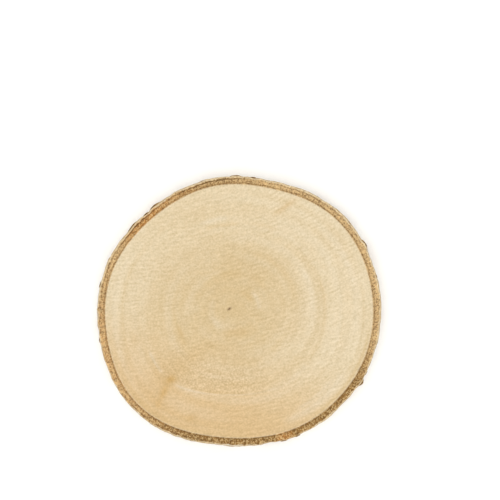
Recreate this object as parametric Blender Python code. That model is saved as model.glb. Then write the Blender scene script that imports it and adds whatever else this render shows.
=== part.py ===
"""Birch wood slice: a thin cross-cut of a birch stem, sawn flat on both faces, with its bark left on.

Metres, +Z up through the thickness. The origin is the middle of the underside, so the slice rests
on the plane z = 0. +X runs along its longest extent. It grew as one piece, so it is one solid.
"""

import math

import bmesh
import bpy
import numpy as np

# Driving dimensions
LONG_SIDE = 0.120  # across the bark, along X
THICKNESS = 0.010  # between the two sawn faces
BARK_SHARE = 0.0625  # the bark's thickness, as a share of the stem's mean radius
PITH = (-0.067, 0.021)  # where the pith lies off the middle, as shares of the mean radius
ARRIS = 0.0003  # the saw leaves this much broken off the bark's two edges
BARK_WANDER = 0.0002  # how far the bark's surface strays in and out
STEPS_ROUND = 240  # points round the stem
BARK_ROWS = 5  # points up the bark, between the two broken edges

# The stem isn't round. Each lobe: crests round the stem, height as a share of the mean radius,
# and the direction of one crest, in degrees from +X towards +Y.
LOBES = (
    (2, 0.030, 15),  # an oval, longest a little above +X
    (3, 0.006, -30),
    (4, 0.007, 40),
    (5, 0.004, 20),
    (6, 0.006, -15),
)

# Where loose bark stands proud: direction in degrees, half-width in degrees, and height.
BARK_SWELLINGS = (
    (-30, 2.0, 0.0005),
    (28, 2.0, 0.0003),
    (91, 2.5, 0.0003),
    (129, 2.0, 0.0004),
    (140, 3.0, 0.0003),
    (168, 2.5, 0.0002),
    (266, 3.0, 0.0002),
    (292, 3.0, 0.0003),
)

# Waves of the bark's surface: crests round the stem, turn from edge to edge, and starting phase.
BARK_WAVES = ((7, 1.9, 0.4), (12, -2.6, 2.0), (19, 3.4, 4.1))


def remove_everything():
    for thing in list(bpy.data.objects):
        bpy.data.objects.remove(thing, do_unlink=True)


def lobed_radius(angles):
    """The stem's radius in each direction, where 1 is its mean radius: 1 plus a cosine for each lobe."""
    radius = np.ones_like(angles)
    for crests, height, crest in LOBES:
        radius += height * np.cos(crests * (angles - math.radians(crest)))
    return radius


def loose_bark(angles):
    """How far loose bark stands proud in each direction: a bell-shaped swelling at each place."""
    proud = np.zeros_like(angles)
    for direction, half_width, height in BARK_SWELLINGS:
        turn = angles - math.radians(direction)
        away = np.degrees(np.arctan2(np.sin(turn), np.cos(turn)))
        proud += height * np.exp(-((away / half_width) ** 2))
    return proud


def bark_wander(angles, rise):
    """How far the bark strays at this share of the thickness: the mean of a few sine waves."""
    waves = [np.sin(crests * angles + turn * rise + phase) for crests, turn, phase in BARK_WAVES]
    return BARK_WANDER * np.mean(waves, axis=0)


def stem_rings():
    """The rings of points, from the underside's bark line, up the bark, to the top face's bark line."""
    angles = np.arange(STEPS_ROUND) * 2 * math.pi / STEPS_ROUND
    round_trip = np.stack([np.cos(angles), np.sin(angles)], axis=1)
    lobed = lobed_radius(angles)
    mean_radius = LONG_SIDE / np.ptp(lobed * np.cos(angles))
    wood = (mean_radius * (lobed - BARK_SHARE))[:, None] * round_trip
    heights = [0.0, *np.linspace(ARRIS, THICKNESS - ARRIS, BARK_ROWS), THICKNESS]
    rings = [(wood, 0.0)]
    for height in heights:
        broken = ARRIS if height in (0.0, THICKNESS) else 0.0
        radius = mean_radius * lobed + loose_bark(angles) + bark_wander(angles, height / THICKNESS)
        rings.append(((radius - broken)[:, None] * round_trip, height))
    rings.append((wood, THICKNESS))
    pith = mean_radius * np.array(PITH)
    return rings, pith


def to_origin(rings, pith):
    """Moves the slice so that the origin is the middle of its box, and sizes it to LONG_SIDE."""
    outline = np.concatenate([points for points, height in rings])
    middle = (outline.min(axis=0) + outline.max(axis=0)) / 2
    grow = LONG_SIDE / np.ptp(outline[:, 0])
    placed = [((points - middle) * grow, height) for points, height in rings]
    return placed, (pith - middle) * grow


def principled(name, colour, roughness):
    material = bpy.data.materials.new(name)
    material.use_nodes = True
    shader = material.node_tree.nodes["Principled BSDF"]
    shader.inputs["Base Color"].default_value = (*colour, 1.0)
    shader.inputs["Roughness"].default_value = roughness
    shader.inputs["Metallic"].default_value = 0.0
    return material


def make_slice():
    """One closed solid: strips of quads between the rings, and a fan from the pith on each face."""
    rings, pith = to_origin(*stem_rings())
    shape = bmesh.new()
    loops = [[shape.verts.new((x, y, height)) for x, y in points] for points, height in rings]
    after = [(i + 1) % STEPS_ROUND for i in range(STEPS_ROUND)]
    for below, above in zip(loops, loops[1:]):
        for i, j in enumerate(after):
            shape.faces.new((below[i], below[j], above[j], above[i]))
    bottom_pith = shape.verts.new((*pith, 0.0))
    top_pith = shape.verts.new((*pith, THICKNESS))
    for i, j in enumerate(after):
        shape.faces.new((loops[0][j], loops[0][i], bottom_pith))
        shape.faces.new((loops[-1][i], loops[-1][j], top_pith))
    strips = len(loops) - 1
    for index, face in enumerate(shape.faces):
        face.material_index = 1 if index < strips * STEPS_ROUND else 0
    bmesh.ops.recalc_face_normals(shape, faces=shape.faces)

    mesh = bpy.data.meshes.new("birch_slice")
    shape.to_mesh(mesh)
    shape.free()
    mesh.materials.append(principled("sawn birch wood", (0.78, 0.61, 0.38), 0.6))
    mesh.materials.append(principled("birch bark", (0.62, 0.55, 0.45), 0.7))
    mesh.shade_smooth()
    mesh.set_sharp_from_angle(angle=math.radians(30))
    slice_object = bpy.data.objects.new("birch_slice", mesh)
    bpy.context.scene.collection.objects.link(slice_object)
    return slice_object


remove_everything()
make_slice()
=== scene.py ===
"""A birch wood slice: the looks of its sawn wood, its bark and the loose paper on its edge.

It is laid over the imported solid, in metres, +Z up, with the slice lying on the plane z = 0.
"""

import math

import bpy
import numpy as np
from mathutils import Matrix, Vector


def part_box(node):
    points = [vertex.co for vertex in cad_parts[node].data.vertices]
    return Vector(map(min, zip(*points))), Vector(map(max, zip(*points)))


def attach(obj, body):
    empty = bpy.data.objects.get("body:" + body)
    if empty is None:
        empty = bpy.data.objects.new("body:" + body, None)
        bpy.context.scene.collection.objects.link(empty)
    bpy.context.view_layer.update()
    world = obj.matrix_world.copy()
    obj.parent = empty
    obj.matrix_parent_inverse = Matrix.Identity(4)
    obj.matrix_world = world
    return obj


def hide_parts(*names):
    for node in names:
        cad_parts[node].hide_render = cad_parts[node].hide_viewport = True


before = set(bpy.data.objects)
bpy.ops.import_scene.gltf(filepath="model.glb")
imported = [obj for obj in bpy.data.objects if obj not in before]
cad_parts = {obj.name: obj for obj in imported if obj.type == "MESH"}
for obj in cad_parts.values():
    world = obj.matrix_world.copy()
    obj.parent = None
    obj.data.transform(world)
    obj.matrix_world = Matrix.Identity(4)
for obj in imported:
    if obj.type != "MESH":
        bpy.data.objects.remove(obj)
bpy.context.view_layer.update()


# --- The sawn wood ---------------------------------------------------------------------------
# Real piece: everything inside the bark, end grain on both faces, with the pith off the middle.
# Material: pale birch, air dried, with its yearly rings, a few stains, and dark flecks.
# Made: cross-cut in one pass of a circular saw, whose teeth left faint arcs, then lightly sanded.

low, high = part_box("birch_slice")
THICKNESS = high.z - low.z
BARK = 0.0036  # thickness of the bark, from the cambium to the outside
PITH = np.array([-0.0041, 0.0009])  # the pith, off the middle of the slice
ROUND = 2 * math.pi


def stem_outline():
    """Directions and distances of the bark's outside: the middle row of the CAD solid's own points."""
    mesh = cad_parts["birch_slice"].data
    points = np.empty(len(mesh.vertices) * 3)
    mesh.vertices.foreach_get("co", points)
    points = points.reshape(-1, 3)
    row = points[np.abs(points[:, 2] - THICKNESS / 2) < THICKNESS / 10]
    return np.arctan2(row[:, 1], row[:, 0]), np.hypot(row[:, 0], row[:, 1])


OUTLINE = stem_outline()
OUTLINE_STEPS = 1440  # even steps round the stem, to find its waves
OUTLINE_WAVES = 11  # the wood follows the outline's waves below this count, and none of the loose bark
BLUR = 19.7  # about twice pi squared, which makes mottle blur by a Gaussian of that many cells


def bark_radius(direction):
    """Distance from the axis to the bark's outside: the CAD outline, read round the stem."""
    return np.interp(direction, *OUTLINE, period=ROUND)


def wood_radius(direction):
    """Distance from the axis to the cambium: the outline's slow waves only, less the bark's thickness."""
    even = np.arange(OUTLINE_STEPS) * ROUND / OUTLINE_STEPS
    waves = np.fft.rfft(bark_radius(even))
    waves[OUTLINE_WAVES:] = 0
    return np.interp(direction, even, np.fft.irfft(waves, OUTLINE_STEPS), period=ROUND) - BARK


def round_the_stem(direction):
    """Unit vectors in plan for these directions."""
    return np.stack([np.cos(direction), np.sin(direction)], axis=-1)


def off_direction(direction, middle_degrees):
    """How many degrees each direction lies from the middle one, between -180 and 180."""
    turn = direction - math.radians(middle_degrees)
    return np.degrees(np.arctan2(np.sin(turn), np.cos(turn)))


def step(value, start, end):
    """0 before start, 1 after end, and a smooth cubic between."""
    t = np.clip((value - start) / (end - start), 0, 1)
    return t * t * (3 - 2 * t)


def mottle(shape, blur, seed):
    """A random field of spread 1 that wraps round: white noise blurred by a Gaussian of blur cells."""
    white = np.random.default_rng(seed).standard_normal(shape)
    rows = np.fft.fftfreq(shape[0])[:, None] * blur[0]
    columns = np.fft.rfftfreq(shape[1])[None, :] * blur[1]
    soft = np.fft.irfft2(np.fft.rfft2(white) * np.exp(-BLUR * (rows**2 + columns**2)), s=shape)
    return soft / soft.std()


def skin(name, *shapes):
    """One mesh of closed shapes. Each is its rings of points, shape (rings, points round, 3), and its
    two tips, or None.

    Quads join each ring to the next. With tips, a fan of triangles closes each end. Without, the
    last ring joins the first. Seen along the way that the rings go, their points turn to the left.
    """
    points, faces, start = [], [], 0
    for rings, tips in shapes:
        count, around = rings.shape[:2]
        first = np.arange(count if tips is None else count - 1)[:, None]
        second = (first + 1) % count
        here = np.arange(around)[None, :]
        after = (here + 1) % around
        near, far = first * around, second * around
        corners = [near + here, far + here, far + after, near + after]
        quads = np.stack([np.broadcast_to(c, (len(first), around)) for c in corners], axis=-1)
        faces += (start + quads.reshape(-1, 4)).tolist()
        points.append(rings.reshape(-1, 3))
        if tips is not None:
            here, after, last = here[0], after[0], (count - 1) * around
            tip = np.full(around, count * around)
            faces += (start + np.stack([here, after, tip], axis=-1)).tolist()
            faces += (start + np.stack([last + after, last + here, tip + 1], axis=-1)).tolist()
            points.append(tips)
        start = sum(len(part) for part in points)
    mesh = bpy.data.meshes.new(name)
    mesh.from_pydata(np.concatenate(points).tolist(), [], faces)
    mesh.validate()
    mesh.shade_smooth()
    mesh.set_sharp_from_angle(angle=math.radians(50))
    piece = bpy.data.objects.new(name, mesh)
    bpy.context.scene.collection.objects.link(piece)
    return piece


def paint(piece, **marks):
    """Stores each mark, one number for each point, as an attribute that a material can read."""
    for name, amount in marks.items():
        layer = piece.data.attributes.new(name, "FLOAT", "POINT")
        layer.data.foreach_set("value", np.asarray(amount, np.float32).ravel())


WOOD_AROUND = 560  # points round the wood
WOOD_RINGS = 112  # rings of points from the pith to the cambium
YEARS = 18
SAW_MIDDLE = np.array([-0.062, 0.245])  # where the saw's arbor passed, off the middle of the slice
SAW_PITCH = 0.00186  # between two arcs that the saw left
RING_RELIEF = 0.00003  # late wood stands this much proud of early wood
PITH_PIT = 0.0005  # the soft pith has shrunk this deep

# Arcs where some years' wood is darker or paler: share of the way from the pith to the cambium,
# the directions between which it shows in degrees, its half-width as a share, and its strength.
DARK_ARCS = [
    (0.690, 84, 106, 0.011, 0.7),
    (0.675, 84, 106, 0.010, 0.9),
    (0.700, 58, 84, 0.020, 0.5),
    (0.470, -30, 62, 0.028, 0.8),
    (0.445, 150, 225, 0.018, 0.5),
    (0.430, 196, 220, 0.012, 0.6),
    (0.290, 15, 100, 0.018, 0.4),
    (0.160, 20, 60, 0.016, 0.5),
    (0.670, -32, 25, 0.014, 0.5),
    (0.800, -50, 20, 0.012, 0.3),
    (0.865, 150, 205, 0.012, 0.5),
    (0.985, -52, -10, 0.012, 0.9),
    (0.940, -40, 10, 0.010, 0.5),
]
PALE_ARCS = [
    (0.930, 297, 331, 0.030, 1.0),
    (0.885, 304, 325, 0.012, 0.7),
    (0.707, 208, 224, 0.010, 1.1),
    (0.680, 296, 324, 0.022, 0.6),
    (0.205, 0, 38, 0.016, 0.9),
    (0.145, 150, 245, 0.028, 0.5),
    (0.735, 91, 109, 0.016, 0.9),
    (0.890, -15, 42, 0.026, 0.6),
    (0.930, 150, 212, 0.022, 0.4),
    (0.590, -20, 30, 0.020, 0.35),
]
# Where the wood is stained: place, half-width, half-length and turn in degrees, and strength.
STAINS = [
    (-0.0287, -0.0290, 0.0018, 0.0024, 15, 0.95),
    (-0.0318, -0.0345, 0.0014, 0.0030, 65, 0.85),
    (-0.0342, -0.0395, 0.0013, 0.0026, 75, 0.45),
    (-0.0244, -0.0092, 0.0007, 0.0026, -60, 0.40),
    (-0.0205, -0.0450, 0.0014, 0.0024, 20, 0.45),
    (-0.0320, -0.0290, 0.0062, 0.0110, 65, 0.40),
    (-0.0440, -0.0118, 0.0020, 0.0030, 90, 0.30),
    (-0.0200, -0.0200, 0.0030, 0.0060, 40, 0.25),
    (-0.0018, -0.0089, 0.0022, 0.0045, 10, 0.35),
    (-0.0046, -0.0153, 0.0025, 0.0040, 30, 0.20),
    (0.0195, 0.0440, 0.0012, 0.0050, 36, 0.55),
]


def year_shares():
    """Where each year's ring ends: widths that shrink outwards from the pith, uneven by a third."""
    chance = np.random.default_rng(7)
    widths = np.linspace(1.25, 0.75, YEARS) * chance.uniform(0.68, 1.32, YEARS)
    return np.concatenate([[0], np.cumsum(widths)]) / widths.sum()


def arc_mark(share, towards, year, start, end, width):
    """1 along a ring at this share between two directions in degrees, fading across and at its ends."""
    middle, half = (start + end) / 2, (end - start) / 2
    along = 1 - step(np.abs(off_direction(towards, middle)), half * 0.7, half * 1.2)
    return along * np.exp(-(((share - year) / width) ** 2))


def spot_mark(plan, x, y, across, along, turn):
    """1 at a place in plan, fading out over these half-sizes, with the long one turned in degrees."""
    c, s = math.cos(math.radians(turn)), math.sin(math.radians(turn))
    dx, dy = plan[..., 0] - x, plan[..., 1] - y
    return np.exp(-(((dx * c + dy * s) / along) ** 2) - ((dy * c - dx * s) / across) ** 2)


direction = np.arange(WOOD_AROUND) * ROUND / WOOD_AROUND
cambium = wood_radius(direction)[:, None] * round_the_stem(direction)
share = (np.arange(WOOD_RINGS) + 1)[:, None] / WOOD_RINGS
plan = PITH + share[..., None] * (cambium - PITH)
towards = np.arctan2(plan[..., 1] - PITH[1], plan[..., 0] - PITH[0])
share = np.broadcast_to(share, towards.shape)
wavy = 0.004 * np.sin(3 * towards + 9 * share) + 0.003 * np.sin(7 * towards - 14 * share + 1.0)
year = np.interp(share + wavy * share, year_shares(), np.arange(YEARS + 1))
relief = RING_RELIEF * ((year % 1) ** 4 - 1)
from_pith = np.linalg.norm(plan - PITH, axis=-1)
pith_pit = PITH_PIT * np.exp(-((from_pith / 0.0005) ** 2))

heart = np.exp(-((np.linalg.norm((plan - [-0.008, 0.002]) / [1.0, 0.95], axis=-1) / 0.036) ** 2.5))
warm = step(-plan[..., 1] - 0.30 * plan[..., 0], 0.006, 0.050)
bands = mottle(share.shape, (2.2, 34), 3) * step(share, 0.02, 0.2)
blotches = mottle(share.shape, (5, 12), 4) * step(share, 0.02, 0.2)
dark = sum(d * arc_mark(share, towards, *arc) for *arc, d in DARK_ARCS)
pale = sum(p * arc_mark(share, towards, *arc) for *arc, p in PALE_ARCS)
torn_line = 0.668 + 0.000017 * off_direction(towards, 285) ** 2
pale = pale + 0.9 * arc_mark(share, towards, torn_line, 234, 257, 0.007)
patchy = step(bands + blotches, -1.6, 1.0)
pale = pale + 0.8 * arc_mark(share, towards, torn_line, 250, 300, 0.006) * patchy
dark = dark + 0.5 * arc_mark(share, towards, torn_line - 0.018, 234, 262, 0.008)
# Inside that line the saw tore the grain instead of cutting it, and left it woolly and a little grey.
woolly = step(share, 0.34, 0.56) * (1 - step(share, torn_line - 0.02, torn_line))
woolly = woolly * (1 - step(np.abs(off_direction(towards, 258)), 18, 52))
dark = dark + 0.23 * np.clip(bands, 0, 2) + 0.12 * np.clip(blotches, 0, 2)
pale = pale + 0.23 * np.clip(-bands, 0, 2) + 0.12 * np.clip(-blotches, 0, 2)
fine = mottle(share.shape, (0.8, 14), 5) * step(share, 0.05, 0.3)
pith_mark = spot_mark(plan, *PITH, 0.0004, 0.0008, 35)
stain = sum(d * spot_mark(plan, *spot) for *spot, d in STAINS)

side_rows = np.array([0.66, 0.33])  # rows of points on the wood's hidden side, against the bark
coarser = slice(None, None, -3)  # the underside has a third of the rings of points
top = np.dstack([plan, THICKNESS + relief - pith_pit])
side = [np.dstack([plan[-1:], np.full((1, WOOD_AROUND), THICKNESS * level)]) for level in side_rows]
under = np.dstack([plan, pith_pit - relief])[coarser]
tips = np.array([[*PITH, THICKNESS - PITH_PIT], [*PITH, PITH_PIT]])
wood = skin("sawn_wood", (np.concatenate([top, *side, under]), tips))


def over_both(marks, at_pith):
    """A mark for every point of the wood: the top face, the hidden side, the underside and both tips."""
    sides = np.repeat(marks[-1:], len(side_rows), axis=0)
    return np.concatenate([marks.ravel(), sides.ravel(), marks[coarser].ravel(), [at_pith, at_pith]])


paint(
    wood,
    year=over_both(year, 0),
    heart=over_both(heart, 1),
    warm=over_both(warm, 0),
    stain=over_both(stain, 0),
    dark=over_both(dark, 0),
    fine=over_both(fine, 0),
    pale=over_both(pale, 0),
    pith=over_both(pith_mark, 1),
    woolly=over_both(woolly, 0),
)


def lay_flat(piece, corners):
    """Stores where each corner of each face lies in the flat maps that an export bakes, inside 0 to 1."""
    layer = piece.data.uv_layers.new(name="OFBake")
    layer.data.foreach_set("uv", np.asarray(corners, np.float32).ravel())


def as_two_discs(rings):
    """Flat corners for the wood: the top face as one disc and the underside as the other, each with its
    half of the hidden side spread round it as a narrow skirt."""
    index = np.empty(len(wood.data.loops), np.int32)
    wood.data.loops.foreach_get("vertex_index", index)
    points = np.concatenate([rings.reshape(-1, 3), tips])[:, :2]
    ring = np.concatenate([np.repeat(np.arange(len(rings)), WOOD_AROUND), [0, len(rings) - 1]])
    flat = points / np.linalg.norm(points, axis=1).max() * (DISC_RADIUS - 3 * SKIRT)
    outward = points / np.maximum(np.linalg.norm(points, axis=1, keepdims=True), 1e-9) * SKIRT
    last_above, first_under = WOOD_RINGS - 1, WOOD_RINGS + len(side_rows)
    above = DISC_MIDDLE + flat + outward * np.clip(ring - last_above, 0, None)[:, None]
    below = 1 - DISC_MIDDLE + (flat + outward * np.clip(first_under - ring, 0, None)[:, None]) * [-1, 1]
    quads = np.repeat(np.arange(len(rings) - 1) < first_under - 1, WOOD_AROUND)
    fans = np.repeat([True, False], WOOD_AROUND)
    corner_above = np.concatenate([np.repeat(quads, 4), np.repeat(fans, 3)])
    return np.where(corner_above[:, None], above[index], below[index])


DISC_RADIUS = 0.288
DISC_MIDDLE = 0.294  # from two edges of the map, so that the discs lie along its diagonal
SKIRT = 0.003
lay_flat(wood, as_two_discs(np.concatenate([top, *side, under])))


def linear(hex_colour):
    """An sRGB hex colour as the linear red, green, blue and alpha that a shader socket takes."""
    parts = [int(hex_colour[i : i + 2], 16) / 255 for i in (1, 3, 5)]
    return (*[((p + 0.055) / 1.055) ** 2.4 if p > 0.04045 else p / 12.92 for p in parts], 1.0)


def add(tree, kind, inputs=(), out=None, **settings):
    """Adds one node, and gives back the output called out, or the first that is switched on.

    The inputs are a list in the node's own order, or a dictionary by name. Each is a value, or an
    output that feeds it.
    """
    node = tree.nodes.new("ShaderNode" + kind)
    for name, value in settings.items():
        setattr(node, name, value)
    sockets = [socket for socket in node.inputs if socket.enabled]
    if isinstance(inputs, dict):
        by_name = {socket.name: socket for socket in sockets}
        pairs = [(by_name[name], value) for name, value in inputs.items()]
    else:
        pairs = zip(sockets, inputs)
    for socket, value in pairs:
        if isinstance(value, bpy.types.NodeSocket):
            tree.links.new(value, socket)
        else:
            socket.default_value = value
    return next(o for o in node.outputs if o.enabled and out in (None, o.name))


def material_for(piece, name):
    """A new material on the piece: its node tree and its Principled shader's inputs."""
    material = bpy.data.materials.new(name)
    material.use_nodes = True
    piece.data.materials.append(material)
    return material.node_tree, material.node_tree.nodes["Principled BSDF"].inputs


def mm(size):
    """The scale of a pattern whose features are this many millimetres apart."""
    return 1000 / size


def sawn_birch(piece):
    """Air-dried birch end grain: pale cream to tan, matt, with rings hardly darker than the wood.

    The eye gets broad soft bands of tone, fine ripples from the saw, which are partly painted shade in
    its grooves and painted light on its ridges, and a mealy grain.
    """
    tree, shader = material_for(piece, "sawn birch end grain")
    place = add(tree, "TexCoord", out="Object")
    names = ("year", "heart", "warm", "stain", "dark", "fine", "pale", "pith", "woolly")
    mark = {name: add(tree, "Attribute", attribute_name=name, out="Fac") for name in names}

    # Slow drifts of tone, from heart to rim, and warmer and darker towards the -Y side, a little towards
    # -X.
    drift = add(tree, "TexNoise", {"Vector": place, "Scale": mm(18), "Detail": 3})
    uneven = add(tree, "Math", (drift, 0.9, 0.55), operation="MULTIPLY_ADD")
    heart_amount = add(tree, "Math", (mark["heart"], uneven), operation="MULTIPLY")
    colour = add(tree, "Mix", (heart_amount, PALE_WOOD, HEART_WOOD), data_type="RGBA")
    colour = add(tree, "Mix", (mark["warm"], colour, WARM_WOOD), data_type="RGBA")
    tan = add(tree, "Math", (mark["dark"], 0.40), operation="MULTIPLY")
    colour = add(tree, "Mix", (tan, colour, TAN_WOOD), data_type="RGBA")
    cream = add(tree, "Math", (mark["pale"], 0.24), operation="MULTIPLY")
    colour = add(tree, "Mix", (cream, colour, CREAM_WOOD), data_type="RGBA")
    stained = add(tree, "Math", (mark["stain"], 0.85), operation="MULTIPLY")
    colour = add(tree, "Mix", (stained, colour, STAINED_WOOD), data_type="RGBA")
    colour = add(tree, "Mix", (mark["pith"], colour, PITH_BROWN), data_type="RGBA")

    # Yearly rings: each year darkens slowly, then ends in a thin line of late wood.
    wander = add(tree, "TexNoise", {"Vector": place, "Scale": mm(9), "Detail": 2})
    ring = add(tree, "Math", (wander, 0.35, mark["year"]), operation="MULTIPLY_ADD")
    ring = add(tree, "Math", (ring,), operation="FRACT")
    late = add(tree, "Math", (ring, 5.0), operation="POWER")

    # The saw's arcs: waves of distance from where its arbor passed, with streaks drawn out along them.
    arbor = (*SAW_MIDDLE, 0.0)
    away = add(tree, "VectorMath", (place, arbor), operation="DISTANCE")
    from_arbor = add(tree, "VectorMath", (place, arbor), operation="SUBTRACT")
    sweep = add(tree, "SeparateXYZ", (from_arbor,), out="X")
    along_arcs = add(tree, "CombineXYZ", {"X": sweep, "Y": away})
    bent = add(tree, "TexNoise", {"Vector": place, "Scale": mm(8), "Detail": 2})
    turns = add(tree, "Math", (away, 1 / SAW_PITCH), operation="MULTIPLY")
    turns = add(tree, "Math", (bent, 1.8, turns), operation="MULTIPLY_ADD")
    arcs = add(tree, "Math", (turns, ROUND), operation="MULTIPLY")
    arcs = add(tree, "Math", (arcs,), operation="SINE")
    bite = add(tree, "TexNoise", {"Vector": place, "Scale": mm(12), "Detail": 2})
    bite = add(tree, "MapRange", (bite, 0.35, 0.65, 0.1, 1.5))
    arcs = add(tree, "Math", (arcs, bite), operation="MULTIPLY")
    stretched = add(tree, "VectorMath", (along_arcs, (0.28, 1.0, 1.0)), operation="MULTIPLY")
    streaks = add(tree, "TexNoise", {"Vector": stretched, "Scale": mm(0.9), "Detail": 1})
    streaks = add(tree, "Math", (streaks, 0.5), operation="SUBTRACT")

    # The mealy grain is torn vessels, 0.05 mm across on real birch, drawn fifteen times coarser to show.
    meal = add(tree, "TexNoise", {"Vector": place, "Scale": mm(0.75), "Detail": 1})
    meal = add(tree, "Math", (meal, 0.5), operation="SUBTRACT")

    # Painted shade and light: the saw's arcs go into the colour as well as the bump below, darker in each
    # groove and lighter on each ridge.
    light = 0.0
    for amount, strength in (
        (late, -0.036), (mark["fine"], 0.011), (arcs, 0.027), (streaks, 0.29), (meal, 0.50),
    ):
        light = add(tree, "Math", (amount, strength, light), operation="MULTIPLY_ADD")
    coarse = add(tree, "Math", (mark["woolly"], 0.30, 0.0), operation="MULTIPLY_ADD")
    coarse = add(tree, "Math", (coarse, meal), operation="MULTIPLY")
    light = add(tree, "Math", (light, coarse), operation="ADD")
    light = add(tree, "Math", (mark["woolly"], -0.030, light), operation="MULTIPLY_ADD")
    # What is torn scatters white light, so it gains more blue than red.
    fibres_white = (0.85, 0.95, 1.35)
    glow = add(tree, "VectorMath", (fibres_white, light), operation="SCALE")
    glow = add(tree, "VectorMath", (glow, colour, colour), operation="MULTIPLY_ADD")
    # A faint tinge that drifts between yellow and pink from one clump of fibres to the next.
    tinge = add(tree, "TexNoise", {"Vector": place, "Scale": mm(2.2), "Detail": 2})
    tinge = add(tree, "Math", (tinge, 0.5), operation="SUBTRACT")
    tinge = add(tree, "VectorMath", ((0.01, -0.03, -0.09), tinge), operation="SCALE")
    tinge = add(tree, "VectorMath", (tinge, (1.0, 1.0, 1.0)), operation="ADD")
    glow = add(tree, "VectorMath", (glow, tinge), operation="MULTIPLY")
    tree.links.new(glow, shader["Base Color"])

    rough = add(tree, "Math", (meal, 0.4, 0.66), operation="MULTIPLY_ADD")
    tree.links.new(rough, shader["Roughness"])
    height = add(tree, "Math", (streaks, 2.0, arcs), operation="MULTIPLY_ADD")
    height = add(tree, "Math", (meal, 2.0, height), operation="MULTIPLY_ADD")
    normal = add(tree, "Bump", {"Strength": 0.5, "Distance": 0.00002, "Height": height})
    tree.links.new(normal, shader["Normal"])
    shader["IOR"].default_value = 1.45
    shader["Specular IOR Level"].default_value = 0.45


PALE_WOOD = linear("#DAC8A6")
HEART_WOOD = linear("#CCB386")
WARM_WOOD = linear("#CFB080")
TAN_WOOD = linear("#C7AA76")
CREAM_WOOD = linear("#E3D9C6")
STAINED_WOOD = linear("#C4A065")
PITH_BROWN = linear("#6E4E2E")

sawn_birch(wood)
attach(wood, "root")
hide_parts("birch_slice")


# --- The bark ----------------------------------------------------------------------------------
# Real piece: the band of bark round the wood, sawn through on both faces.
# Material: granular tan inner bark under a skin of white papery layers, crossed by brown lenticels.
# Made: it grew on the stem. The saw broke its two edges, where the paper is torn back to the tan.

BARK_AROUND = 1200  # points round the bark
CUT_ROWS = 12  # rows of points across the sawn bark on each face
WALL_ROWS = 42  # rows of points down the outside
ARRIS = 0.00030  # how much of each edge the saw broke off
LIP = 0.00015  # a lenticel's corky lips stand this much proud
GROOVE = 0.00024  # and its middle lies this much deeper than its lips
TORN_DEPTH = 0.00014  # where the paper is torn off, the bark is this much thinner
CAMBIUM_GROOVE = 0.00012  # the bark has shrunk away from the wood and left a groove this deep
ROLL = 0.3  # one more row rounds each broken edge, at this share of it

# Lenticels on the near side: direction in degrees, height, length and thickness in millimetres,
# and how dark they are.
LENTICELS = [
    (-137.0, 2.3, 18.0, 0.9, 0.85),
    (-125.0, 6.8, 13.5, 1.1, 0.9),
    (-112.6, 0.9, 10.5, 1.1, 0.95),
    (-101.5, 8.1, 9.5, 1.0, 0.9),
    (-98.9, 4.5, 11.6, 1.1, 1.0),
    (-78.0, 8.2, 10.4, 1.25, 0.95),
    (-72.8, 1.0, 10.5, 0.9, 0.85),
    (-68.4, 4.1, 12.0, 0.8, 0.85),
    (-49.4, 6.6, 13.5, 0.9, 0.8),
    (-36.4, 2.9, 16.0, 0.6, 0.6),
]
# Where the near side's paper is stained tan: direction in degrees, height, half-length, half-height
# and the turn from level, in millimetres and degrees, and the strength.
PAPER_STAINS = [
    (-151.8, 5.4, 1.6, 3.6, 4, 2.4),
    (-122.3, 3.4, 1.8, 3.2, -8, 0.6),
    (-123.0, 8.0, 6.0, 1.2, 0, 0.45),
    (-125.0, 9.2, 13.0, 0.6, 0, 0.8),
    (-90.0, 9.5, 22.0, 0.35, 0, 0.6),
    (-130.0, 8.4, 3.0, 1.0, 10, 0.5),
    (-122.0, 0.5, 11.0, 0.7, 0, 0.8),
    (-104.0, 7.0, 3.0, 2.0, 0, 0.45),
    (-100.0, 6.6, 6.0, 0.4, 0, 0.35),
    (-86.0, 2.2, 1.6, 2.0, 30, 0.25),
    (-78.5, 4.4, 3.0, 2.6, 0, 0.95),
    (-79.0, 7.9, 5.5, 1.8, 0, 0.75),
    (-68.4, 4.1, 2.0, 0.9, 0, 0.6),
    (-65.4, 9.2, 2.6, 0.6, 0, 0.9),
    (-59.0, 6.5, 0.8, 2.8, -4, 0.8),
    (-48.0, 0.6, 12.0, 0.7, 0, 0.5),
    (-34.0, 2.6, 2.0, 1.0, 0, 0.5),
]
# Thin grey scratches on the near side, in the same terms but for one half-thickness.
SCRATCHES = [
    (-115.5, 7.0, 2.2, -42),
    (-113.0, 5.4, 2.6, -50),
    (-111.0, 4.6, 2.0, -38),
    (-109.4, 3.8, 1.6, 60),
    (-112.4, 6.4, 1.8, -46),
    (-110.2, 3.6, 1.5, -30),
    (-108.2, 5.6, 1.9, 66),
    (-107.0, 4.2, 1.4, 52),
    (-105.0, 6.1, 4.0, 4),
    (-96.0, 6.6, 4.5, -3),
    (-88.0, 2.0, 2.5, 28),
    (-55.0, 8.9, 3.0, -8),
    (-46.5, 2.0, 1.4, 75),
    (-27.0, 8.0, 3.0, 5),
]
SCRATCH_HALF = 0.22
# Where dark specks are thick on the near side: direction, height, half-length and half-height.
SPECKLED = [
    (-138.0, 6.5, 3.0, 3.0),
    (-133.0, 2.2, 3.5, 1.2),
    (-107.0, 7.6, 2.0, 1.6),
    (-71.5, 8.4, 1.6, 1.4),
    (-43.5, 6.6, 3.0, 0.8),
    (-30.0, 3.4, 6.0, 1.4),
    (-20.0, 6.0, 3.0, 3.5),
    (-158.0, 6.0, 2.5, 3.5),
    (-106.2, 7.3, 0.6, 0.8),
    (-73.0, 8.3, 0.6, 0.8),
    (-34.0, 2.6, 0.7, 0.6),
]
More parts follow.
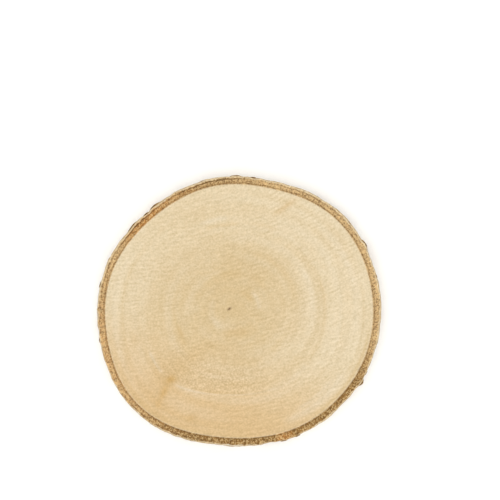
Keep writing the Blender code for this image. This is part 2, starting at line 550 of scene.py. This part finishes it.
# Where the near side's paper is weathered to a greyish olive, in the same terms as the stains.
WEATHERED = [
    (-110.6, 4.8, 2.6, 0.9, -42, 1.0),
    (-107.0, 4.8, 1.2, 2.4, 0, 0.9),
    (-106.6, 7.2, 1.3, 1.1, 0, 1.0),
    (-103.0, 6.1, 3.2, 0.45, 2, 1.0),
    (-95.0, 6.5, 4.4, 0.45, -3, 1.0),
    (-131.5, 6.2, 2.0, 2.4, 0, 0.8),
    (-140.5, 6.0, 1.4, 2.6, 0, 0.6),
    (-88.0, 2.1, 2.6, 0.7, 28, 0.7),
    (-78.6, 4.3, 2.6, 2.3, 0, 0.9),
    (-71.0, 8.0, 0.8, 1.4, 0, 0.8),
    (-59.5, 7.8, 0.6, 2.2, 0, 0.8),
    (-50.0, 8.9, 3.4, 0.7, -6, 0.9),
    (-38.0, 8.6, 2.4, 0.8, -8, 0.8),
    (-30.0, 5.0, 4.0, 0.5, 8, 0.6),
    (-20.0, 5.4, 2.4, 3.2, 0, 0.7),
]
# Where a twig died and the paper healed over it in a swirl: direction, height, radius and strength.
KNOTS = [(-78.6, 4.3, 2.7, 2.4), (-106.8, 7.0, 1.3, 1.5), (24.0, 5.8, 2.1, 1.0), (147.0, 4.0, 1.6, 0.9)]
KNOT_PITCH = 0.95  # millimetres from one turn of the swirl to the next
FAR_SIDE = (-22, 202)  # the directions, in degrees, that the lists above leave mostly bare
FAR_LENTICELS = 21
CLEAR = (12, 2.2)  # two far lenticels are this many degrees or this many millimetres apart


def far_marks():
    """Marks for the rest of the stem, spread by chance in the same kinds and sizes as the near side's."""
    chance = np.random.default_rng(11)
    flat = chance.uniform

    def anywhere(lowest, highest):
        return flat(*FAR_SIDE), flat(lowest, highest)

    lenticels = []
    while len(lenticels) < FAR_LENTICELS:
        place = anywhere(0.8, 9.2)
        if all(abs(place[0] - f[0]) > CLEAR[0] or abs(place[1] - f[1]) > CLEAR[1] for f in lenticels):
            lenticels.append((*place, flat(7, 16), flat(0.6, 1.3), flat(0.6, 1)))
    stains = []
    for middle, level, length, _, dark in lenticels[::2]:
        place = (middle + chance.normal(0, 1), level - 1)
        stains.append((*place, length / 3, 1.6, chance.normal(0, 8), 0.4 * dark))
    stains += [(*anywhere(2, 8), 1.1, 2.8, chance.normal(0, 8), 0.6) for _ in range(9)]
    for _ in range(7):
        edge = chance.choice([0.5, 9.4])
        stains.append((flat(*FAR_SIDE), edge, flat(3, 10), 0.5, 0, 0.7))
    scratches = [(*anywhere(2, 8), flat(1, 4), chance.normal(0, 35)) for _ in range(22)]
    speckled = [(*anywhere(1, 9), flat(1, 5), flat(1, 3)) for _ in range(12)]
    weathered = [
        (*anywhere(1, 9), flat(1, 4), flat(0.4, 2.4), chance.normal(0, 20), 0.9) for _ in range(18)
    ]
    return lenticels, stains, scratches, speckled, weathered


def bark_profile():
    """The way round the bark's cut section: depth (0 at the cambium, 1 outside), height, and how much
    of the arris is broken off. It runs out over the top, down the outside, in below, and up inside."""
    out = np.linspace(0, 1, CUT_ROWS)
    down = np.linspace(THICKNESS - ARRIS, ARRIS, WALL_ROWS)
    depth = [*out, 1, *np.ones(WALL_ROWS), 1, *out[::-1], 0, 0]
    height = [
        *np.full(CUT_ROWS, THICKNESS), THICKNESS - ROLL * ARRIS, *down, ROLL * ARRIS,
        *np.zeros(CUT_ROWS), THICKNESS * 0.33, THICKNESS * 0.66,
    ]
    broken = [*out, ROLL, *np.zeros(WALL_ROWS), ROLL, *out[::-1], 0, 0]
    return np.array(depth)[:, None], np.array(height)[:, None], np.array(broken)[:, None]


direction = np.arange(BARK_AROUND) * ROUND / BARK_AROUND
depth, height, broken = bark_profile()
field = (len(depth), BARK_AROUND)
on_wall = (depth == 1) & (height > 0.1 * ARRIS) & (height < THICKNESS - 0.1 * ARRIS)
outside = bark_radius(direction)[None, :]
inside = wood_radius(direction)[None, :]
MM_PER_DEGREE = math.radians(1) * float(outside.mean()) * 1000


def wall_spot(middle, level, along, up, turn=0.0):
    """1 at a place on the wall, given in degrees and millimetres, fading out over two half-sizes."""
    c, s = math.cos(math.radians(turn)), math.sin(math.radians(turn))
    dx = off_direction(direction, middle)[None, :] * MM_PER_DEGREE + 0.25 * tremble
    dy = height * 1000 - level + 0.2 * tremble[::-1]
    return np.exp(-(((dx * c + dy * s) / along) ** 2) - ((dy * c - dx * s) / up) ** 2)


def lenticel_marks(lenticels):
    """1 in the middle of a lenticel, 0 outside it, and the halo of stained paper round it. Each is a
    spindle with a ragged edge and crumbling ends, as thick as its own noise makes it there."""
    ragged = mottle(field, (1.1, 2.2), 21)
    swells = mottle(field, (9, 6), 22)
    marks, halo = np.zeros(field), np.zeros(field)
    for middle, level, length, thick, darkness in lenticels:
        along = off_direction(direction, middle)[None, :] * MM_PER_DEGREE
        up = height * 1000 - level - 0.09 * np.sin(along / 2 + middle)
        reach = np.clip(1 - np.abs(along / (length / 2)) ** 2.2, 0, 1)
        across = np.abs(up) / (thick / 2 * reach * (1 + 0.18 * swells) + 0.05) * (1 + 0.20 * ragged)
        marks = np.maximum(marks, darkness * (1 - step(across, 0.1, 1.55)) * step(reach, 0.0, 0.35))
        fade = (along / (0.46 * length)) ** 4 + (up / (0.5 + 0.9 * thick)) ** 2
        halo = np.maximum(halo, darkness * np.exp(-fade))
    return marks * on_wall, halo * on_wall


def swirls(knots):
    """1 on the dark turns of each knot's swirl: waves of distance from its middle, one wave further
    on each time round, fading out at its radius."""
    marks = np.zeros(field)
    bent, broken_up = mottle(field, (7, 6), 52), mottle(field, (5, 5), 53)
    for middle, level, radius, strength in knots:
        along = off_direction(direction, middle)[None, :] * MM_PER_DEGREE
        up = height * 1000 - level
        distance = np.hypot(along * 0.85, up) + 0.10 * tremble + 0.28 * bent
        phase = ROUND * distance / KNOT_PITCH + np.arctan2(up, along)
        marks = marks + strength * (0.5 + 0.5 * np.cos(phase)) * np.exp(-((distance / radius) ** 4))
    return np.clip(marks * step(broken_up, -2.0, 0.3), 0, 1) * on_wall


tremble = mottle(field, (3, 5), 51)
far_lenticels, far_stains, far_scratches, far_speckled, far_weathered = far_marks()
lenticel, halo = lenticel_marks(LENTICELS + far_lenticels)
stained = sum(d * wall_spot(*spot) for *spot, d in PAPER_STAINS + far_stains) + 0.38 * halo
scratches = SCRATCHES + far_scratches
scratch = sum(wall_spot(m, h, half, SCRATCH_HALF, turn) for m, h, half, turn in scratches)
speckled = sum(wall_spot(*spot) for spot in SPECKLED + far_speckled)
weathered = sum(d * wall_spot(*spot) for *spot, d in WEATHERED + far_weathered)
knot = swirls(KNOTS)
slow = mottle(field, (14, 30), 31)
quick = mottle(field, (1.2, 1.5), 32)
streaks = mottle(field, (0.8, 9), 33)
edge_gap = np.minimum(height, THICKNESS - height) * 1000
torn = 1 - step(edge_gap + 0.16 * mottle(field, (1.5, 7), 34) + 0.10 * quick, 0.1, 0.62)
torn = torn * on_wall

# Swells, ridges and roughness of the outside, then its marks, all in metres.
proud = 0.00007 * slow + 0.00010 * mottle(field, (12, 3.5), 35) + 0.00002 * quick + 0.00002 * streaks
proud = proud + LIP * 4 * lenticel * (1 - lenticel) - GROOVE * lenticel**2 - TORN_DEPTH * torn
proud = proud - 0.00005 * scratch + 0.00006 * np.clip(stained, 0, 1) * on_wall - 0.00010 * knot
radius = inside + depth * (outside - inside - ARRIS * broken * (1 + 0.5 * quick)) + proud * depth**4
granules = mottle(field, (0.8, 1.0), 41)
cambium_line = np.exp(-(((depth + 0.035 * mottle(field, (6, 5), 42) - 0.2) / 0.08) ** 2))
sunk = np.clip(0.00006 + 0.00005 * granules, 0, 1) + CAMBIUM_GROOVE * cambium_line
sunk = sunk * step(depth, 0.0, 0.15) * (1 - 0.5 * step(depth, 0.8, 0.9))
level = height - sunk * (height == THICKNESS) + sunk * (height == 0)
points = np.dstack([radius[..., None] * round_the_stem(direction)[None], level])
bark = skin("bark", (points, None))


def in_strips(count):
    """Flat corners for the bark: its skin cut through in this many places and laid in level strips,
    one above another, with its hidden inside squeezed narrow."""
    moved = np.diff(np.concatenate([depth, depth[:1]]) * BARK, axis=0)
    risen = np.diff(np.concatenate([height, height[:1]]), axis=0)
    way = np.hypot(moved, risen)[:, 0]
    way[-3:] *= HIDDEN_SQUEEZE
    way = np.concatenate([[0], np.cumsum(way)]) / way.sum()
    row, column = np.divmod(np.arange(len(depth) * BARK_AROUND), BARK_AROUND)
    strip, place = np.divmod(column, BARK_AROUND // count)
    across = 1 - (place[:, None] + [0, 0, 1, 1]) / (BARK_AROUND // count)
    up = way[row[:, None] + [0, 1, 1, 0]]
    across = STRIP_GAP + across * (1 - 2 * STRIP_GAP)
    up = (strip[:, None] + up * (1 - 2 * count * STRIP_GAP)) / count + STRIP_GAP
    return np.stack([across, up], axis=-1)


STRIP_GAP = 0.006
HIDDEN_SQUEEZE = 0.3
lay_flat(bark, in_strips(4))


def by_direction(*bumps):
    """A mark that rises at some directions. Each bump is a direction and a half-width in degrees, and
    a height."""
    marks = sum(h * np.exp(-((off_direction(direction, d) / w) ** 4)) for d, w, h in bumps)
    return np.broadcast_to(marks[None, :], field)


paint(
    bark,
    depth=np.broadcast_to(depth, field),
    cambium_line=cambium_line,
    lenticel=lenticel,
    torn=torn,
    stained=np.clip(stained, 0, 1),
    scratch=scratch,
    speckled=speckled,
    weathered=weathered,
    knot=knot,
    rays=mottle(field, (3, 0.8), 43),
    dark_side=by_direction((282, 48, 1.0), (330, 12, 0.5), (106, 26, 0.45), (238, 10, 0.3)),
    orange=by_direction((137, 12, 0.9), (290, 3.5, 0.9), (118, 10, 0.35), (200, 36, 0.3)),
    edge_line=by_direction(
        (105, 16, 1.0), (140, 14, 1.0), (165, 9, 0.6), (60, 18, 0.35), (225, 8, 0.5), (250, 14, 0.5),
    ),
    grey_bulge=by_direction((267, 4, 1.0), (107, 4, 0.3)),
    thin_paper=by_direction(
        (205, 27, 0.9), (255, 20, 0.5), (291, 14, 1.1), (330, 16, 0.5), (106, 26, 0.2),
    ),
)


def sawn_bark(piece):
    """Inner bark cut across: tan to olive brown, full of pale stone cells, with a thin skin of white
    paper outside and a dark line where it has shrunk from the wood. It looks like coarse brown sugar."""
    tree, shader = material_for(piece, "sawn birch bark")
    place = add(tree, "TexCoord", out="Object")
    names = (
        "depth", "cambium_line", "rays", "dark_side", "orange", "edge_line", "grey_bulge", "thin_paper",
    )
    mark = {name: add(tree, "Attribute", attribute_name=name, out="Fac") for name in names}

    colour = add(tree, "Mix", (mark["dark_side"], TAN_BARK, OLIVE_BARK), data_type="RGBA")
    colour = add(tree, "Mix", (mark["orange"], colour, ORANGE_BARK), data_type="RGBA")
    # Clumps of stone cells, 0.3 mm across on real birch, drawn coarser to show.
    cells = add(tree, "TexVoronoi", {"Vector": place, "Scale": mm(0.45)}, out="Color")
    clumps = add(tree, "MapRange", (cells, 0.50, 0.75, 0.0, 0.66))
    colour = add(tree, "Mix", (clumps, colour, STONE_CELLS), data_type="RGBA")
    dark_cells = add(tree, "MapRange", (cells, 0.45, 0.25, 0.0, 0.58))
    colour = add(tree, "Mix", (dark_cells, colour, DARK_CORK), data_type="RGBA")

    # Lines that follow the bark's edges, with a wavering place across it.
    grain = add(tree, "TexNoise", {"Vector": place, "Scale": mm(1.6), "Detail": 3, "Roughness": 0.65})
    depth_there = add(tree, "Math", (grain, 0.22, mark["depth"]), operation="MULTIPLY_ADD")
    depth_there = add(tree, "Math", (depth_there, 0.11), operation="SUBTRACT")
    line = add(tree, "Math", (mark["cambium_line"], 0.62), operation="MULTIPLY")
    colour = add(tree, "Mix", (line, colour, CAMBIUM_BROWN), data_type="RGBA")
    near_wood = add(tree, "MapRange", (mark["depth"], 0.13, 0.0, 0.0, 0.8))
    colour = add(tree, "Mix", (near_wood, colour, PALE_WOOD), data_type="RGBA")
    under = add(tree, "MapRange", (depth_there, 0.60, 0.68))
    above = add(tree, "MapRange", (depth_there, 0.80, 0.72))
    cork = add(tree, "Math", (under, above), operation="MULTIPLY")
    cork = add(tree, "Math", (cork, mark["edge_line"]), operation="MULTIPLY")
    colour = add(tree, "Mix", (cork, colour, DARK_CORK), data_type="RGBA")
    thin = add(tree, "Math", (mark["thin_paper"], -0.12, depth_there), operation="MULTIPLY_ADD")
    paper = add(tree, "MapRange", (thin, 0.80, 0.92, 0.0, 0.9))
    colour = add(tree, "Mix", (paper, colour, PAPER_EDGE), data_type="RGBA")
    bulge = add(tree, "Math", (mark["grey_bulge"], paper), operation="MULTIPLY")
    colour = add(tree, "Mix", (bulge, colour, GREY_BARK), data_type="RGBA")

    light = add(tree, "Math", (grain, 0.7, 0.66), operation="MULTIPLY_ADD")
    light = add(tree, "Math", (mark["rays"], 0.06, light), operation="MULTIPLY_ADD")
    colour = add(tree, "VectorMath", (colour, light), operation="SCALE")
    tree.links.new(colour, shader["Base Color"])
    rough = add(tree, "Math", (grain, 0.2, 0.68), operation="MULTIPLY_ADD")
    tree.links.new(rough, shader["Roughness"])
    lumps = add(tree, "Math", (cells, 0.6, grain), operation="MULTIPLY_ADD")
    normal = add(tree, "Bump", {"Strength": 0.6, "Distance": 0.00012, "Height": lumps})
    tree.links.new(normal, shader["Normal"])
    shader["IOR"].default_value = 1.45
    shader["Specular IOR Level"].default_value = 0.3


TAN_BARK = linear("#C8A574")
OLIVE_BARK = linear("#8C6631")
ORANGE_BARK = linear("#C08544")
STONE_CELLS = linear("#D4B681")
DARK_CORK = linear("#5C3F1A")
CAMBIUM_BROWN = linear("#6F4E20")
PAPER_EDGE = linear("#D3BF9A")
GREY_BARK = linear("#CFC3AE")


def birch_paper(piece):
    """The bark's outside: layers of white, chalky paper, cream where they are fresh, with ochre
    lenticels, tan stains, black specks and thin grey scratches. It is matt, faintly silky."""
    tree, shader = material_for(piece, "white birch bark")
    place = add(tree, "TexCoord", out="Object")
    names = ("lenticel", "torn", "stained", "scratch", "speckled", "weathered", "knot")
    mark = {name: add(tree, "Attribute", attribute_name=name, out="Fac") for name in names}

    patches = add(tree, "TexNoise", {"Vector": place, "Scale": mm(9), "Detail": 5, "Roughness": 0.62})
    cream = add(tree, "MapRange", (patches, 0.40, 0.66))
    grey = add(tree, "MapRange", (patches, 0.47, 0.32, 0.0, 0.7))
    colour = add(tree, "Mix", (cream, WHITE_PAPER, CREAM_PAPER), data_type="RGBA")
    colour = add(tree, "Mix", (grey, colour, GREY_PAPER), data_type="RGBA")
    # Level lines of the paper's layers, 0.1 mm apart on real birch, drawn coarser to show.
    squeezed = add(tree, "VectorMath", (place, (0.14, 0.14, 1.0)), operation="MULTIPLY")
    layers = add(tree, "TexNoise", {"Vector": squeezed, "Scale": mm(0.8), "Detail": 3, "Roughness": 0.6})
    chalk = add(tree, "TexNoise", {"Vector": place, "Scale": mm(1.5), "Detail": 3, "Roughness": 0.7})
    # Thin weathered film, in crumbs: it leaves the white paper greyish olive.
    film = add(tree, "TexNoise", {"Vector": place, "Scale": mm(2.6), "Detail": 4, "Roughness": 0.75})
    film = add(tree, "Math", (mark["weathered"], 0.13, film), operation="MULTIPLY_ADD")
    film = add(tree, "MapRange", (film, 0.51, 0.65, 0.0, 0.8))
    colour = add(tree, "Mix", (film, colour, FILM_OLIVE), data_type="RGBA")

    frayed = add(tree, "Math", (chalk, 0.9, mark["stained"]), operation="MULTIPLY_ADD")
    frayed = add(tree, "Math", (layers, 0.5, frayed), operation="MULTIPLY_ADD")
    tan = add(tree, "MapRange", (frayed, 0.91, 1.52, 0.0, 0.9))
    colour = add(tree, "Mix", (tan, colour, TAN_PAPER), data_type="RGBA")
    healed = add(tree, "Math", (mark["knot"], 0.9), operation="MULTIPLY")
    colour = add(tree, "Mix", (healed, colour, KNOT_OLIVE), data_type="RGBA")
    rubbed = add(tree, "Math", (mark["scratch"], chalk), operation="MULTIPLY")
    rubbed = add(tree, "MapRange", (rubbed, 0.06, 0.40, 0.0, 0.9))
    colour = add(tree, "Mix", (rubbed, colour, SCRATCH_GREY), data_type="RGBA")

    dots = add(tree, "TexNoise", {"Vector": place, "Scale": mm(0.9), "Detail": 1})
    dots = add(tree, "Math", (mark["speckled"], 0.14, dots), operation="MULTIPLY_ADD")
    dots = add(tree, "MapRange", (dots, 0.69, 0.78, 0.0, 0.9))
    colour = add(tree, "Mix", (dots, colour, SPECK_BLACK), data_type="RGBA")

    # A lenticel is ochre at its edge and brown in its middle, broken up by cracks across it.
    upright = add(tree, "VectorMath", (place, (1.0, 1.0, 0.22)), operation="MULTIPLY")
    cracks = add(tree, "TexNoise", {"Vector": upright, "Scale": mm(1.1), "Detail": 2})
    ragged = add(tree, "Math", (layers, 0.30, mark["lenticel"]), operation="MULTIPLY_ADD")
    ragged = add(tree, "Math", (cracks, 0.55, ragged), operation="MULTIPLY_ADD")
    ochre = add(tree, "MapRange", (ragged, 0.44, 0.74))
    colour = add(tree, "Mix", (ochre, colour, OCHRE_CORK), data_type="RGBA")
    brown = add(tree, "MapRange", (ragged, 0.82, 1.30))
    colour = add(tree, "Mix", (brown, colour, BROWN_CORK), data_type="RGBA")
    bare = add(tree, "Math", (chalk, 0.5, mark["torn"]), operation="MULTIPLY_ADD")
    bare = add(tree, "MapRange", (bare, 0.40, 0.90, 0.0, 0.95))
    colour = add(tree, "Mix", (bare, colour, TORN_TAN), data_type="RGBA")

    crumbs = add(tree, "TexNoise", {"Vector": place, "Scale": mm(0.8), "Detail": 2})
    crumbs = add(tree, "Math", (crumbs, 0.5), operation="SUBTRACT")
    crumbly = add(tree, "Math", (film, 1.1, 0.35), operation="MULTIPLY_ADD")
    light = add(tree, "Math", (layers, 0.50, 0.56), operation="MULTIPLY_ADD")
    light = add(tree, "Math", (chalk, 0.60, light), operation="MULTIPLY_ADD")
    light = add(tree, "Math", (crumbs, crumbly, light), operation="MULTIPLY_ADD")
    colour = add(tree, "VectorMath", (colour, light), operation="SCALE")
    tree.links.new(colour, shader["Base Color"])
    rough = add(tree, "Math", (mark["lenticel"], 0.2, 0.58), operation="MULTIPLY_ADD")
    tree.links.new(rough, shader["Roughness"])
    lumps = add(tree, "Math", (chalk, 0.7, layers), operation="MULTIPLY_ADD")
    normal = add(tree, "Bump", {"Strength": 0.6, "Distance": 0.00012, "Height": lumps})
    tree.links.new(normal, shader["Normal"])
    shader["IOR"].default_value = 1.45
    shader["Sheen Weight"].default_value = 0.08


WHITE_PAPER = linear("#D6CCB7")
CREAM_PAPER = linear("#CDB68C")
GREY_PAPER = linear("#B4AA90")
FILM_OLIVE = linear("#9C9173")
TAN_PAPER = linear("#AA8F5C")
KNOT_OLIVE = linear("#77663A")
OCHRE_CORK = linear("#B48B45")
BROWN_CORK = linear("#6E4A10")
SCRATCH_GREY = linear("#7D7356")
SPECK_BLACK = linear("#4B4330")
TORN_TAN = linear("#A4834F")

sawn_bark(bark)
birch_paper(bark)
face_rows = np.repeat(np.arange(field[0]), BARK_AROUND)
paper_rows = (face_rows >= CUT_ROWS - 1) & (face_rows < CUT_ROWS + 1 + WALL_ROWS)
bark.data.polygons.foreach_set("material_index", paper_rows.astype(np.int32))
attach(bark, "root")
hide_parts("birch_slice")


# --- The loose paper -------------------------------------------------------------------------------
# Real piece: curls of the outermost paper that have come away, most of them along the sawn edge.
# Material: thin birch paper, white and chalky outside, pinkish tan inside.
# Made: the saw and the drying lifted them. Each is still part of the bark along its root.

CURL_RINGS = 15  # sections along each curl
PAPER_THICK = 0.00011
ROOT_SUNK = 0.00012  # a curl's root lies this deep in the bark
BELOW_SAW = 0.00015  # no curl comes nearer than this to the plane of the saw cut
# Direction of the middle in degrees, then in millimetres: height of the root, length, how far up the
# free edge lies from the root, and how far out it lifts.
CURLS = [
    (128.6, 7.3, 6.5, 2.5, 0.43),
    (141.5, 7.6, 7.0, 2.2, 0.30),
    (134.0, 8.2, 3.0, 1.6, 0.25),
    (105.0, 7.9, 5.0, 1.9, 0.24),
    (91.5, 7.5, 5.5, 2.3, 0.30),
    (84.0, 8.0, 3.0, 1.8, 0.24),
    (28.0, 7.4, 4.5, 2.4, 0.29),
    (14.0, 8.1, 3.0, 1.7, 0.22),
    (-30.4, 7.2, 4.0, 2.6, 0.58),
    (-26.0, 8.0, 2.6, 1.8, 0.29),
    (-64.8, 7.9, 3.0, 1.9, 0.32),
    (-71.0, 7.8, 3.6, 2.0, 0.30),
    (-94.0, 8.3, 7.5, 1.5, 0.22),
    (-110.0, 8.4, 4.0, 1.4, 0.18),
    (-168.0, 8.0, 3.4, 1.8, 0.24),
    (-174.0, 7.4, 2.8, 1.6, 0.20),
    (169.5, 7.8, 3.4, 2.0, 0.27),
    (158.5, 8.1, 2.8, 1.7, 0.20),
    (60.0, 4.6, 6.0, -1.7, 0.29),
    (186.0, 5.4, 5.0, 1.6, 0.27),
    (117.0, 3.4, 5.5, 1.5, 0.32),
    (-8.0, 5.6, 4.5, -1.4, 0.26),
]


def curl(middle, root, length, rise, lift):
    """A strip of paper that follows the bark along its root and bends outwards to its free edge.

    Distance out is the bark's, plus the lift times the share of the way to the free edge, to the
    power of 1.5. It narrows to both ends as a rounded spindle. A falling curl's rings run backwards.
    """
    along = np.linspace(-1, 1, CURL_RINGS + 2)[1:-1, None]
    taper = (1 - along**2) ** 0.6 * (1 + 0.10 * np.sin(5 * along + middle))
    bearing = math.radians(middle) + along * length / (2 * MM_PER_DEGREE) * math.radians(1)
    share = np.array([0, 0.35, 0.7, 1, 1, 0.7, 0.35, 0])[None, :]
    outer = np.array([1, 1, 1, 0.4, -0.4, -1, -1, -1])[None, :]
    up = np.clip(root / 1000 + rise / 1000 * share * taper, None, THICKNESS - BELOW_SAW)
    out = bark_radius(bearing) - ROOT_SUNK + (0.0001 + lift / 1000 * taper) * share**1.5
    out = out + outer * PAPER_THICK / 2
    rings = np.dstack([out * np.cos(bearing), out * np.sin(bearing), up])
    middles = rings.mean(axis=1)
    ends = np.array([middles[0] * 1.5 - middles[1] * 0.5, middles[-1] * 1.5 - middles[-2] * 0.5])
    return (rings if rise > 0 else rings[:, ::-1]), ends


curls = [curl(*place) for place in CURLS]
loose = skin("loose_paper", *curls)
inner_side = []
for (rings, ends), place in zip(curls, CURLS):
    section = np.array([0, 0, 0, 0.5, 0.5, 1, 1, 1])  # outside, free edge, inside
    section = section if place[3] > 0 else section[::-1]
    inner_side += [np.tile(section, CURL_RINGS), [0.5, 0.5]]
paint(loose, inner=np.concatenate(inner_side))


def thin_birch_paper(piece):
    """A single thickness of paper: chalky cream outside and tan inside. It is matt and fibrous, so
    that the eye gets a dry flake."""
    tree, shader = material_for(piece, "loose birch paper")
    place = add(tree, "TexCoord", out="Object")
    inner = add(tree, "Attribute", attribute_name="inner", out="Fac")
    fibres = add(tree, "TexNoise", {"Vector": place, "Scale": mm(1.4), "Detail": 4, "Roughness": 0.65})
    outside = add(tree, "MapRange", (fibres, 0.40, 0.62))
    outside = add(tree, "Mix", (outside, WHITE_PAPER, CREAM_PAPER), data_type="RGBA")
    colour = add(tree, "Mix", (inner, outside, INNER_PAPER), data_type="RGBA")
    light = add(tree, "Math", (fibres, 0.6, 0.68), operation="MULTIPLY_ADD")
    colour = add(tree, "VectorMath", (colour, light), operation="SCALE")
    tree.links.new(colour, shader["Base Color"])
    rough = add(tree, "Math", (fibres, 0.2, 0.5), operation="MULTIPLY_ADD")
    tree.links.new(rough, shader["Roughness"])
    normal = add(tree, "Bump", {"Strength": 0.5, "Distance": 0.00005, "Height": fibres})
    tree.links.new(normal, shader["Normal"])
    shader["IOR"].default_value = 1.45


INNER_PAPER = linear("#B48E5E")

thin_birch_paper(loose)
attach(loose, "root")
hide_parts("birch_slice")


# --- The stage -----------------------------------------------------------------------------------
# Not part of the object: a plain white floor, an even pale room that is brighter low down, and
# one broad soft lamp, almost overhead and a little to the left.

FLOOR_SIDE = 20.0
half = FLOOR_SIDE / 2
floor_mesh = bpy.data.meshes.new("floor")
corners = [(-half, -half, 0), (half, -half, 0), (half, half, 0), (-half, half, 0)]
floor_mesh.from_pydata(corners, [], [(0, 1, 2, 3)])
floor = bpy.data.objects.new("floor", floor_mesh)
bpy.context.scene.collection.objects.link(floor)
tree, shader = material_for(floor, "white paper sweep")
shader["Base Color"].default_value = linear("#FBFBFA")
shader["Roughness"].default_value = 0.9
shader["Specular IOR Level"].default_value = 0.1

world = bpy.data.worlds.new("pale room")
world.use_nodes = True
tree = world.node_tree
sky = add(tree, "TexCoord", out="Generated")
upward = add(tree, "SeparateXYZ", (sky,), out="Z")
glow = add(tree, "MapRange", (upward, 0.0, 1.0, 1.03, 0.66))
tree.links.new(glow, tree.nodes["Background"].inputs["Strength"])
tree.nodes["Background"].inputs["Color"].default_value = linear("#FFFFFF")
bpy.context.scene.world = world

lamp_data = bpy.data.lights.new("soft lamp", "SUN")
lamp_data.energy = 1.24
lamp_data.angle = math.radians(50)
lamp = bpy.data.objects.new("soft lamp", lamp_data)
LAMP_TILT = math.radians(5)  # off straight overhead
LAMP_SIDE = math.radians(-40)  # round from the front towards the left
lamp.rotation_euler = (LAMP_TILT, 0, LAMP_SIDE)
bpy.context.scene.collection.objects.link(lamp)
bpy.context.scene.view_settings.view_transform = "Standard"

# The camera looks straight down. The slice takes 57% of the picture's width and lies low in it.
SLICE_SHARE = 0.569
AIM = (0.0046, 0.0257)  # the camera's place in plan, off the slice's middle
LENS = 90.0
SENSOR = 36.0
camera_data = bpy.data.cameras.new("camera")
camera_data.lens = LENS
camera_data.sensor_width = SENSOR
picture_width = (high.x - low.x) / SLICE_SHARE
camera = bpy.data.objects.new("camera", camera_data)
camera.location = (*AIM, THICKNESS + picture_width * LENS / SENSOR)
bpy.context.scene.collection.objects.link(camera)
bpy.context.scene.camera = camera
